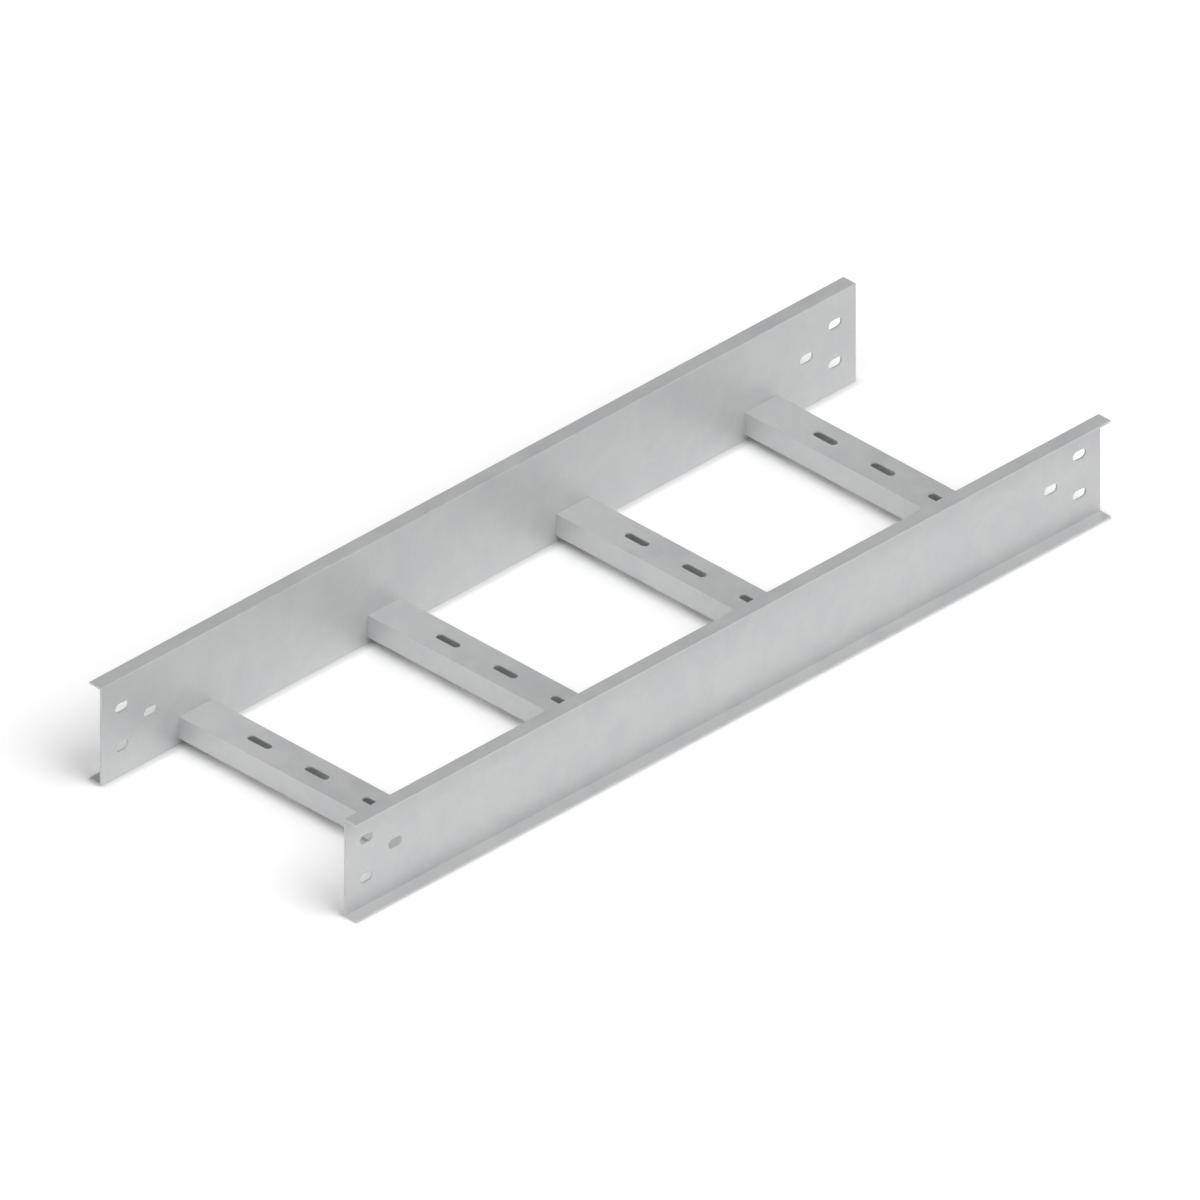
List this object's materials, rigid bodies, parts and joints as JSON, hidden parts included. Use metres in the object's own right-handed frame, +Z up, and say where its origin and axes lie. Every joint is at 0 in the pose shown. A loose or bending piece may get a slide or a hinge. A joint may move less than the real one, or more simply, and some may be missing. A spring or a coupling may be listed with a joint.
{
  "type": "cable ladder section",
  "caption": "Straight cable ladder section: folded channel side rails with slotted ends, joined by slotted channel rungs, in galvanised steel.",
  "frame": {"origin": "middle of the ladder's footprint, on the plane that the lower flanges rest on", "axes": "+X along the ladder, +Y across it towards the left rail, +Z up out of the open side of the trough"},
  "size_m": [0.92, 0.326, 0.1],
  "materials": {
    "rail_steel": "galvanised, matt",
    "rung_steel": "galvanised, matt"
  },
  "bodies": {
    "root": {"side_rail_left": "rail_steel", "side_rail_right": "rail_steel", "rung_1": "rung_steel", "rung_2": "rung_steel", "rung_3": "rung_steel", "rung_4": "rung_steel"}
  },
  "joints": []
}
